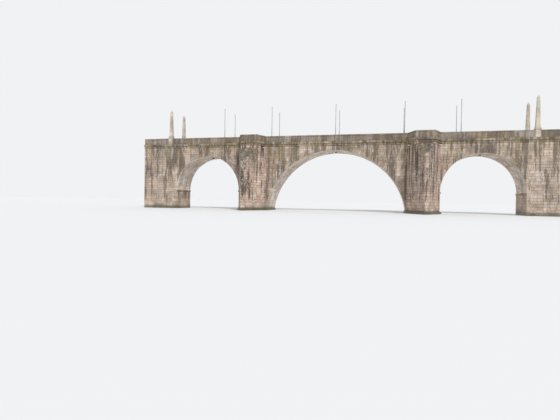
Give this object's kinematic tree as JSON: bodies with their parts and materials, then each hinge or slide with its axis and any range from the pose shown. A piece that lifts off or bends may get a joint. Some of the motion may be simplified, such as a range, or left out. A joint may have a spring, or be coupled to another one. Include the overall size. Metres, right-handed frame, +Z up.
{
  "type": "three-span stone arch bridge, 1:2 scale model",
  "caption": "Stone arch bridge with semicircular spans, cutwater piers with refuges, moulded cornice, parapets, light poles and floodlights, at half real size.",
  "frame": {"origin": "centre of the bridge's base at the waterline, under the crown of the centre arch", "axes": "+X along the bridge, +Y across it with the near face looking to -Y, +Z up"},
  "size_m": [37.998, 9.3, 9.64],
  "materials": {
    "ashlar": "weathered granite blocks with dark run-off streaks",
    "vault_stone": "granite voussoirs, paler and drier under the arch",
    "cutwater_stone": "weathered granite with lichen towards the nose",
    "moulded_stone": "worked granite moulding, stained yellow-green",
    "parapet_stone": "granite slabs, rubbed smooth on top",
    "footing_stone": "wet granite with algae at the waterline",
    "paving": "granite setts",
    "rubble": "rough rubble, hidden",
    "painted_steel": "satin grey paint",
    "lamp_housing": "dark satin paint"
  },
  "bodies": {
    "root": {"centre_arch_barrel": "vault_stone", "crown_lamps": "lamp_housing", "entrance_pinnacles": "parapet_stone", "far_coping_runs": "parapet_stone", "far_cornice_runs": "moulded_stone", "far_left_bank_spandrel": "ashlar", "far_left_cutwater": "cutwater_stone", "far_left_cutwater_cap": "cutwater_stone", "far_left_pier_spandrel": "ashlar", "far_parapet_runs": "parapet_stone", "far_poles": "painted_steel", "far_refuge_copings": "parapet_stone", "far_refuge_cornices": "moulded_stone", "far_refuge_parapets": "parapet_stone", "far_right_bank_spandrel": "ashlar", "far_right_cutwater": "cutwater_stone", "far_right_cutwater_cap": "cutwater_stone", "far_right_pier_spandrel": "ashlar", "left_abutment": "ashlar", "left_arch_barrel": "vault_stone", "left_arch_imposts": "moulded_stone", "left_pier": "ashlar", "left_pier_footing": "footing_stone", "near_coping_runs": "parapet_stone", "near_cornice_runs": "moulded_stone", "near_left_bank_spandrel": "ashlar", "near_left_cutwater": "cutwater_stone", "near_left_cutwater_cap": "cutwater_stone", "near_left_pier_spandrel": "ashlar", "near_parapet_runs": "parapet_stone", "near_poles": "painted_steel", "near_refuge_copings": "parapet_stone", "near_refuge_cornices": "moulded_stone", "near_refuge_parapets": "parapet_stone", "near_right_bank_spandrel": "ashlar", "near_right_cutwater": "cutwater_stone", "near_right_cutwater_cap": "cutwater_stone", "near_right_pier_spandrel": "ashlar", "pier_floodlights": "lamp_housing", "pinnacle_pedestals": "parapet_stone", "refuge_floors": "paving", "right_abutment": "ashlar", "right_arch_barrel": "vault_stone", "right_arch_imposts": "moulded_stone", "right_pier": "ashlar", "right_pier_footing": "footing_stone", "roadway": "paving", "rubble_fill": "rubble"}
  },
  "joints": []
}
